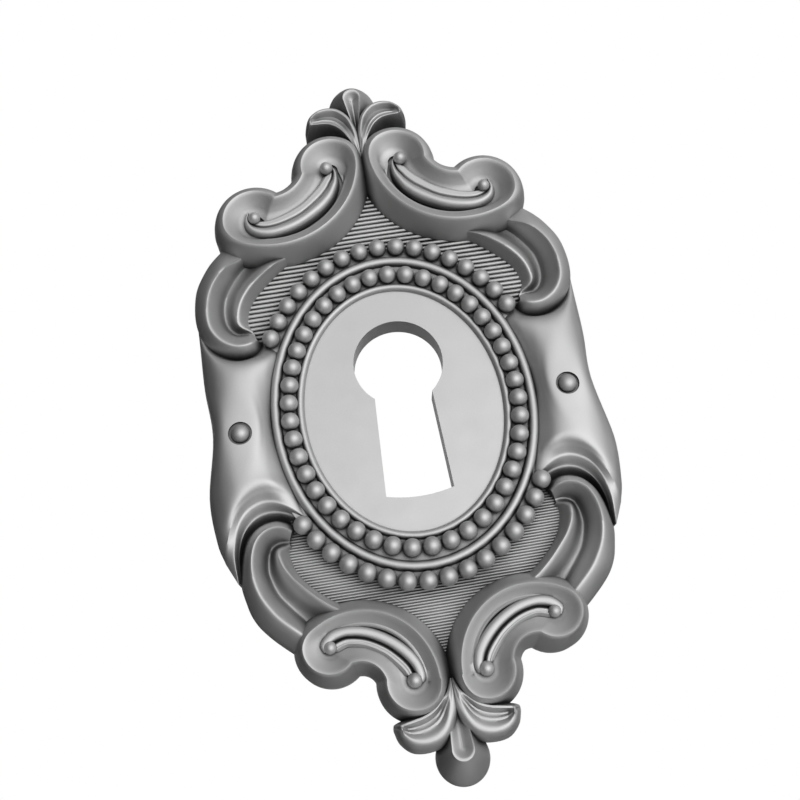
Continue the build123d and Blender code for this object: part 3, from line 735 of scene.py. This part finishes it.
def add_shoulder(casting):
    """A swelling shoulder, which dips under the upper leaf and steps down in folds to the lower one."""
    folds = [spline(line) for line in SHOULDER_FOLDS]
    smooth = np.array([spline(line) for line in SHOULDER_SMOOTH] + folds[:1])
    rows = list(spline(smooth.reshape(len(smooth), -1), SHOULDER_STEPS).reshape(-1, *smooth.shape[1:]))
    for number, (near, far) in enumerate(zip(folds, folds[1:])):
        rows += shaped(near, far, FOLD_SECTION if number else BROW_SECTION)
    casting.add("shoulder", *relief_block(rows), both_sides=True)


def add_palmette(casting, name, plan, relief):
    """A lobe with a spoon-shaped hollow, between two hollowed side leaves."""
    casting.add(name + "_lobe", *loop_block(lobe_loops(plan, relief.palmette_rim / MM)))
    casting.add(name + "_side_leaf", *relief_block(side_leaf_rows(plan)), both_sides=True)


def lobe_loops(plan, rim):
    """Loops from the foot of a palmette's lobe up to the ridge round its spoon and down into the spoon."""
    x, y, radius = plan["lobe"]
    half, end = plan["spoon"]
    half_root, root = plan["root"]
    way = 1 if y > 0 else -1
    turn = np.radians(np.linspace(*LOBE_TURN, LOBE_POINTS))
    base = np.column_stack([x + radius * np.cos(turn), y + way * radius * np.sin(turn)])
    down = np.linspace(base[-1], (-LOBE_ROOT, root), ARM_POINTS)[1:]
    up = np.linspace((LOBE_ROOT, root), base[0], ARM_POINTS)[:-1]
    base = np.vstack([base, down, up])
    spoon_y = end - way * half
    turn = np.radians(np.linspace(0, 180, LOBE_POINTS))
    ridge = np.column_stack([half * np.cos(turn), spoon_y + way * half * np.sin(turn)])
    arms = np.linspace(0, 1, ARM_POINTS)[1:]
    arm = np.column_stack([half + (half_root - half) * arms, spoon_y + (root - spoon_y) * arms])
    ridge = np.vstack([ridge, mirrored(arm), arm[::-1]])
    low, high = sorted((root, spoon_y))
    middle = np.column_stack([np.zeros(len(ridge)), np.clip(ridge[:, 1], low, high)])
    sunk = np.outer(SPOON_FALL * (1 - np.abs(ridge[:, 1] - root) / abs(end - root)), (0, 0, 1))
    loops = [with_height(base, LOBE_FOOT)]
    for share, height in (*LOBE_WALL, (1.0, rim)):
        loops.append(with_height(base + (ridge - base) * share, height) - sunk * share)
    for share, drop in SPOON_SECTION:
        loops.append(with_height(ridge + (middle - ridge) * share, rim - drop) - sunk)
    return loops


def side_leaf_rows(plan):
    """Rows across a palmette's right side leaf, from its foot by the plaque to its foot by the lobe."""
    foot, near, far, edge = [spline(line) for line in plan["leaf"]]
    width = np.hypot(*(far - near)[:, :2].T)
    full, none = HOLLOW_WIDTH
    depth = np.clip((width - none) / (full - none), 0, 1)
    rows = [foot] + shaped(foot, near, LEAF_WALL)
    for across, drop in plan["hollow"]:
        swell = STEM_SWELL * (1 - depth) * math.sin(math.pi * across)
        rows.append(near + (far - near) * across + np.outer(swell - depth * drop, (0, 0, 1)))
    return rows + shaped(far, edge, LEAF_ROLL)


def keyhole_outline():
    """A round above a slot with a bowed foot."""
    x, y, radius = KEYHOLE_ROUND
    lower = math.atan2(SLOT_TOP[1] - y, SLOT_TOP[0])
    turn = np.linspace(lower, math.pi - lower, KEYHOLE_POINTS)
    top = np.column_stack([x + radius * np.cos(turn), y + radius * np.sin(turn)])
    half_width, foot_y = SLOT_FOOT
    across = np.linspace(-half_width, half_width, SLOT_POINTS)
    foot = np.column_stack([x + across, foot_y - SLOT_SAG * (1 - (across / half_width) ** 2)])
    return np.vstack([top, foot])


def add_field(casting, relief):
    """The reeded field, the smooth oval over it, its two rings and the beads."""
    field = relief.field_height / MM
    add_reeds(casting, relief)
    turn = math.tau * np.arange(RING_POINTS) / RING_POINTS
    oval = np.column_stack([OVAL[0] * np.cos(turn), OVAL[1] * np.sin(turn)])
    casting.add("oval", *prism_block(oval, 0.0, field))
    for name, ring in (("inner_ring", INNER_RING), ("outer_ring", OUTER_RING)):
        casting.add(name, *ring_block(*ring, field - RING_SINK))
    centre, radius = relief.bead_centre / MM, relief.bead_diameter / MM / 2
    for number, (x, y) in enumerate(bead_places()):
        casting.add(f"bead_{number}", *ball_block(x, y, centre, radius))


def add_reeds(casting, relief):
    """The reeded ground, cut from a slab along the field's edge."""
    top = relief.reed_height / MM
    low_pitch, high_pitch = relief.low_reed_pitch / MM, relief.reed_pitch / MM
    rows = []
    for start, end, pitch in ((REED_LOWEST, 0.0, low_pitch), (0.0, REED_HIGHEST, high_pitch)):
        depth = pitch * relief.reed_slenderness
        for y in np.arange(start, end, pitch / REED_ROWS):
            low = top - depth * (1 - abs(math.sin(math.pi * y / pitch)) ** relief.reed_fullness)
            rows.append([(-REED_HALF_WIDTH, y, low), (REED_HALF_WIDTH, y, low)])
    reeds = Casting("reeds")
    reeds.add("reeded_slab", *relief_block(rows))
    edge = np.array(FIELD_EDGE)
    outline = np.vstack([edge, mirrored(edge[1:-1])[::-1]])
    reeds.add("field_edge", *prism_block(outline, *CUT_THROUGH))
    slab, cutter = reeds.group.objects
    cut(slab, cutter, "INTERSECT")
    casting.group.objects.link(bpy.data.objects.new("reeded_field", slab.data.copy()))
    reeds.discard()


def bead_places():
    """Where the beads of the closed row and of the two open arcs stand."""
    step = oval_length(*BEAD_ROW) / BEAD_ROW_COUNT
    row = [(i - BEAD_ROW_SHIFT) * step for i in range(BEAD_ROW_COUNT)]
    top = [i * BEAD_ARC_STEP for i in TOP_ARC_BEADS]
    bottom = [(i + BOTTOM_ARC_SHIFT) * BEAD_ARC_STEP for i in BOTTOM_ARC_BEADS]
    arcs = oval_places(*BEAD_ARC, 90, top) + oval_places(*BEAD_ARC, -90, bottom)
    return oval_places(*BEAD_ROW, 90, row) + arcs


def cut(target, tool, operation):
    """Boolean of one object or a whole collection, applied to the target's mesh."""
    step = target.modifiers.new("join", "BOOLEAN")
    step.solver = "MANIFOLD"
    step.operation = operation
    if isinstance(tool, bpy.types.Collection):
        step.operand_type = "COLLECTION"
        step.collection = tool
    else:
        step.object = tool
    graph = bpy.context.evaluated_depsgraph_get()
    result = bpy.data.meshes.new_from_object(target.evaluated_get(graph))
    target.modifiers.remove(step)
    old = target.data
    target.data = result
    bpy.data.meshes.remove(old)
    if not result.polygons:
        raise RuntimeError(f"{operation} left nothing of {target.name}")


def pin_outline(radius):
    """A circle round the right pin."""
    turn = math.tau * np.arange(RECESS_POINTS) / RECESS_POINTS
    return np.column_stack([PIN_SPACING / 2 + radius * np.cos(turn), -OVAL_RISE + radius * np.sin(turn)])


class ESCUTCHEON_OT_plate(bpy.types.Operator):
    """Carve the plate from its ornaments, open the keyhole and sink the rings round the pins' heads"""

    bl_idname = "escutcheon.plate"
    bl_label = "Carve plate"

    def execute(self, context):
        relief = context.scene.escutcheon_relief
        casting = Casting("casting")
        add_field(casting, relief)
        for name, plan in (("upper", UPPER_SCROLL), ("lower", LOWER_SCROLL)):
            add_scroll(casting, name, plan)
        for name, leaf in (("upper_leaf", UPPER_LEAF), ("lower_leaf", LOWER_LEAF)):
            add_leaf(casting, name, leaf)
        add_shoulder(casting)
        for name, plan in (("top", TOP_PALMETTE), ("bottom", BOTTOM_PALMETTE)):
            add_palmette(casting, name, plan, relief)

        first = casting.group.objects["reeded_field"]
        casting.group.objects.unlink(first)
        context.scene.collection.objects.link(first)
        cut(first, casting.group, "UNION")
        casting.discard()

        tools = Casting("openings")
        tools.add("keyhole", *prism_block(keyhole_outline(), *CUT_THROUGH))
        sunk_ring = pin_outline(relief.pin_recess / MM / 2)
        tools.add("pin_recess", *prism_block(sunk_ring, PIN_RECESS_FLOOR, CUT_THROUGH[1]), both_sides=True)
        cut(first, tools.group, "DIFFERENCE")
        tools.discard()

        first.name = "cast_plate"
        first.data.name = "cast_plate"
        dressed(first, cast_metal(context.scene.escutcheon_finish))
        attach(first, "root")
        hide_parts("escutcheon_plate")
        return {"FINISHED"}


class ESCUTCHEON_OT_pins(bpy.types.Operator):
    """Turn the two pins, with domed heads and pointed shanks"""

    bl_idname = "escutcheon.pins"
    bl_label = "Turn pins"

    def execute(self, context):
        relief = context.scene.escutcheon_relief
        head = relief.pin_head / MM / 2
        section = [*PIN_SHANK, (head, PIN_HEAD_FOOT)]
        for angle in PIN_DOME_ANGLES:
            section.append((head * math.cos(angle), PIN_DOME_FOOT + PIN_DOME_RISE * math.sin(angle)))
        section.append((0.0, PIN_DOME_FOOT + PIN_DOME_RISE))
        mesh = bpy.data.meshes.new("domed_pins")
        shape = bmesh.new()
        for side in (1, -1):
            turned(shape, section, side * PIN_SPACING / 2, -OVAL_RISE)
        shape.to_mesh(mesh)
        shape.free()
        pins = bpy.data.objects.new("domed_pins", mesh)
        context.scene.collection.objects.link(pins)
        dressed(pins, pin_metal(context.scene.escutcheon_finish))
        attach(pins, "root")
        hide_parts("escutcheon_pins")
        return {"FINISHED"}


def turned(shape, section, x, y, sides=PIN_SIDES):
    """Adds a turned piece to a mesh: a section of (radius, height) swung round an axis through (x, y)."""
    turn = math.tau * np.arange(sides) / sides
    ends = [shape.verts.new(placed([(x, y, section[i][1])])[0]) for i in (0, -1)]
    rings = []
    for radius, height in section[1:-1]:
        ring = np.column_stack([x + radius * np.cos(turn), y + radius * np.sin(turn), np.full(sides, height)])
        rings.append([shape.verts.new(point) for point in placed(ring)])
    for near, far in zip(rings, rings[1:]):
        for i in range(sides):
            j = (i + 1) % sides
            shape.faces.new((near[i], near[j], far[j], far[i]))
    for i in range(sides):
        j = (i + 1) % sides
        shape.faces.new((rings[0][j], rings[0][i], ends[0]))
        shape.faces.new((rings[-1][i], rings[-1][j], ends[1]))
    bmesh.ops.recalc_face_normals(shape, faces=shape.faces)


def dressed(piece, material):
    """Smooth shading with crisp creases, and one material."""
    piece.data.materials.clear()
    piece.data.materials.append(material)
    piece.data.shade_smooth()
    piece.data.set_sharp_from_angle(angle=math.radians(CREASE_ANGLE))


def grain_and_painted_shade():
    """Node group: the faint mottling and grain of sand-cast metal, with painted shade darkening its recesses.
    """
    name = "Cast grain and painted shade"
    if name in bpy.data.node_groups:
        return bpy.data.node_groups[name]
    group = bpy.data.node_groups.new(name, "ShaderNodeTree")
    sockets = group.interface
    base = sockets.new_socket("Base", in_out="INPUT", socket_type="NodeSocketColor")
    base.default_value = (0.5, 0.5, 0.5, 1.0)
    # The last input sets how dark the painted shade in recesses gets
    for label, value in (("Mottle", 0.06), ("Rough", 0.5), ("Rough spread", 0.08), ("Painted shade", 0.9)):
        sockets.new_socket(label, in_out="INPUT", socket_type="NodeSocketFloat").default_value = value
    sockets.new_socket("Colour", in_out="OUTPUT", socket_type="NodeSocketColor")
    sockets.new_socket("Roughness", in_out="OUTPUT", socket_type="NodeSocketFloat")
    sockets.new_socket("Height", in_out="OUTPUT", socket_type="NodeSocketFloat")
    nodes, links = group.nodes, group.links
    came, out = nodes.new("NodeGroupInput"), nodes.new("NodeGroupOutput")
    place = nodes.new("ShaderNodeTexCoord")

    blotch = nodes.new("ShaderNodeTexNoise")
    blotch.inputs["Scale"].default_value = BLOTCH_SCALE
    blotch.inputs["Detail"].default_value = 3.0
    links.new(place.outputs["Object"], blotch.inputs["Vector"])
    grain = nodes.new("ShaderNodeTexNoise")
    grain.inputs["Scale"].default_value = GRAIN_SCALE
    grain.inputs["Detail"].default_value = 2.0
    links.new(place.outputs["Object"], grain.inputs["Vector"])

    spread = nodes.new("ShaderNodeMath")
    spread.operation = "SUBTRACT"
    links.new(blotch.outputs["Fac"], spread.inputs[0])
    spread.inputs[1].default_value = 0.5
    shade = nodes.new("ShaderNodeMath")
    shade.operation = "MULTIPLY_ADD"
    links.new(spread.outputs[0], shade.inputs[0])
    links.new(came.outputs["Mottle"], shade.inputs[1])
    shade.inputs[2].default_value = 1.0
    # Painted shade: ambient occlusion darkens the base colour in recesses, creases and round the beads' feet,
    # where shade falls
    recess = nodes.new("ShaderNodeAmbientOcclusion")
    recess.samples = 8
    recess.inputs["Distance"].default_value = PAINTED_SHADE_REACH
    shade_mask = nodes.new("ShaderNodeMapRange")
    shade_mask.interpolation_type = "SMOOTHSTEP"
    shade_mask.inputs["From Min"].default_value = PAINTED_SHADE_STARTS
    shade_mask.inputs["From Max"].default_value = PAINTED_SHADE_FULL
    links.new(recess.outputs["AO"], shade_mask.inputs["Value"])
    dark = nodes.new("ShaderNodeMath")
    dark.operation = "MULTIPLY"
    links.new(shade_mask.outputs["Result"], dark.inputs[0])
    links.new(came.outputs["Painted shade"], dark.inputs[1])
    shaded_tone = nodes.new("ShaderNodeMath")
    shaded_tone.operation = "SUBTRACT"
    links.new(shade.outputs[0], shaded_tone.inputs[0])
    links.new(dark.outputs[0], shaded_tone.inputs[1])
    tint = nodes.new("ShaderNodeVectorMath")
    tint.operation = "SCALE"
    links.new(came.outputs["Base"], tint.inputs[0])
    links.new(shaded_tone.outputs[0], tint.inputs["Scale"])
    links.new(tint.outputs[0], out.inputs["Colour"])
    rough = nodes.new("ShaderNodeMath")
    rough.operation = "MULTIPLY_ADD"
    links.new(spread.outputs[0], rough.inputs[0])
    links.new(came.outputs["Rough spread"], rough.inputs[1])
    links.new(came.outputs["Rough"], rough.inputs[2])
    links.new(rough.outputs[0], out.inputs["Roughness"])
    links.new(grain.outputs["Fac"], out.inputs["Height"])
    return group


def metal(name, colour, roughness, mottle, grain_depth):
    """A satin metal with cast grain and painted shade in its recesses."""
    material = bpy.data.materials.new(name)
    material.use_nodes = True
    nodes, links = material.node_tree.nodes, material.node_tree.links
    shader = nodes["Principled BSDF"]
    shader.distribution = "GGX"
    shader.inputs["Metallic"].default_value = 1.0
    grain = nodes.new("ShaderNodeGroup")
    grain.node_tree = grain_and_painted_shade()
    grain.inputs["Base"].default_value = (*colour, 1.0)
    grain.inputs["Mottle"].default_value = mottle
    grain.inputs["Rough"].default_value = roughness
    bump = nodes.new("ShaderNodeBump")
    bump.inputs["Strength"].default_value = GRAIN_STRENGTH
    bump.inputs["Distance"].default_value = grain_depth
    links.new(grain.outputs["Colour"], shader.inputs["Base Color"])
    links.new(grain.outputs["Roughness"], shader.inputs["Roughness"])
    links.new(grain.outputs["Height"], bump.inputs["Height"])
    links.new(bump.outputs["Normal"], shader.inputs["Normal"])
    return material


def cast_metal(finish):
    """The plate's satin metal, a little mottled."""
    colour, roughness = finish.cast_colour, finish.cast_roughness
    return metal("Satin cast metal", colour, roughness, mottle=0.1, grain_depth=0.00002)


def pin_metal(finish):
    """The pins' metal, smoother and more even than the plate's."""
    colour, roughness = finish.pin_colour, finish.pin_roughness
    return metal("Turned pin metal", colour, roughness, mottle=0.05, grain_depth=0.00001)


class ESCUTCHEON_OT_stage(bpy.types.Operator):
    """Set the floor, the background, the lights and the camera"""

    bl_idname = "escutcheon.stage"
    bl_label = "Set stage"

    def execute(self, context):
        scene = context.scene
        stage = scene.escutcheon_stage
        lay_floor(scene, cad_box[0][2] - stage.floor_drop)
        hang_backdrop(scene)
        dim_world(scene, stage.ambient)
        hang_sun(scene, "key", stage.key_strength, *KEY_LIGHT)
        hang_sun(scene, "fill", stage.fill_strength, *FILL_LIGHT)
        hang_sun(scene, "back", stage.back_strength, *BACK_LIGHT)
        set_camera(scene)
        scene.view_settings.view_transform = "Standard"
        return {"FINISHED"}


def stage_plane(scene, name, corners, material):
    """A flat piece of the set, which isn't part of the object."""
    mesh = bpy.data.meshes.new(name)
    mesh.from_pydata(corners, [], [(0, 1, 2, 3)])
    mesh.materials.append(material)
    plane = bpy.data.objects.new(name, mesh)
    plane.visible_shadow = False
    scene.collection.objects.link(plane)


def lay_floor(scene, height):
    """A plain pale floor below the plate."""
    material = bpy.data.materials.new("Pale floor")
    material.use_nodes = True
    material.node_tree.nodes["Principled BSDF"].inputs["Base Color"].default_value = FLOOR_COLOUR
    signs = ((-1, -1), (1, -1), (1, 1), (-1, 1))
    corners = [(x * FLOOR_REACH, y * FLOOR_REACH, height) for x, y in signs]
    stage_plane(scene, "pale_floor", corners, material)


def hang_backdrop(scene):
    """A backdrop well behind the plate, white to the camera and in reflections."""
    material = bpy.data.materials.new("White backdrop")
    material.use_nodes = True
    nodes, links = material.node_tree.nodes, material.node_tree.links
    nodes.remove(nodes["Principled BSDF"])
    path = nodes.new("ShaderNodeLightPath")
    seen = path.outputs["Is Camera Ray"]
    for ray in ("Is Glossy Ray", "Is Transmission Ray"):
        larger = nodes.new("ShaderNodeMath")
        larger.operation = "MAXIMUM"
        links.new(seen, larger.inputs[0])
        links.new(path.outputs[ray], larger.inputs[1])
        seen = larger.outputs[0]
    sheet = nodes.new("ShaderNodeBsdfDiffuse")
    glow = nodes.new("ShaderNodeEmission")
    blend = nodes.new("ShaderNodeMixShader")
    links.new(seen, blend.inputs[0])
    links.new(sheet.outputs[0], blend.inputs[1])
    links.new(glow.outputs[0], blend.inputs[2])
    links.new(blend.outputs[0], nodes["Material Output"].inputs["Surface"])
    left, right, low, high, away = BACKDROP
    corners = [(left, away, low), (right, away, low), (right, away, high), (left, away, high)]
    stage_plane(scene, "white_backdrop", corners, material)


def dim_world(scene, ambient):
    """A plain world that gives a low light from all round."""
    world = bpy.data.worlds.new("Dim surround")
    world.use_nodes = True
    surround = world.node_tree.nodes["Background"]
    surround.inputs["Color"].default_value = (1.0, 1.0, 1.0, 1.0)
    surround.inputs["Strength"].default_value = ambient
    scene.world = world


def hang_sun(scene, name, strength, towards, spread):
    """A soft light from the direction that towards points in."""
    lamp = bpy.data.lights.new(name, "SUN")
    lamp.energy = strength
    lamp.angle = math.radians(spread)
    sun = bpy.data.objects.new(name, lamp)
    sun.rotation_euler = Vector(towards).to_track_quat("Z", "Y").to_euler()
    sun.location = Vector(towards) * LIGHT_DISTANCE
    scene.collection.objects.link(sun)


def set_camera(scene):
    """The camera, set where the photograph was taken from."""
    camera = bpy.data.cameras.new("camera")
    camera.lens = CAMERA_LENS
    camera.sensor_width = CAMERA_SENSOR
    camera.clip_start = CAMERA_NEAR
    eye = bpy.data.objects.new("camera", camera)
    turn = Matrix((CAMERA_RIGHT, CAMERA_UP, CAMERA_BACK)).transposed().to_4x4()
    eye.matrix_world = Matrix.Translation(Vector(CAMERA_PLACE) * MM) @ turn
    scene.collection.objects.link(eye)
    scene.camera = eye


class ESCUTCHEON_PT_panel(bpy.types.Panel):
    """Steps that make the escutcheon, and the values they use"""

    bl_idname = "ESCUTCHEON_PT_panel"
    bl_label = "Escutcheon"
    bl_space_type = "VIEW_3D"
    bl_region_type = "UI"
    bl_category = "Escutcheon"

    def draw(self, context):
        column = self.layout.column()
        for step in STEPS:
            column.operator(step.bl_idname)
        for group in GROUPS:
            values = getattr(context.scene, group)
            for name in values.bl_rna.properties.keys():
                if name not in ("rna_type", "name"):
                    column.prop(values, name)


GROUPS = {
    "escutcheon_relief": EscutcheonRelief,
    "escutcheon_finish": EscutcheonFinish,
    "escutcheon_stage": EscutcheonStage,
}
STEPS = (ESCUTCHEON_OT_plate, ESCUTCHEON_OT_pins, ESCUTCHEON_OT_stage)
CLASSES = (*GROUPS.values(), *STEPS, ESCUTCHEON_PT_panel)


def register():
    for item in CLASSES:
        bpy.utils.register_class(item)
    for name, group in GROUPS.items():
        setattr(bpy.types.Scene, name, bpy.props.PointerProperty(type=group))


def unregister():
    for name in GROUPS:
        delattr(bpy.types.Scene, name)
    for item in reversed(CLASSES):
        bpy.utils.unregister_class(item)


def main():
    register()
    bpy.ops.escutcheon.plate()
    bpy.ops.escutcheon.pins()
    bpy.ops.escutcheon.stage()


if __name__ == "__main__":
    main()
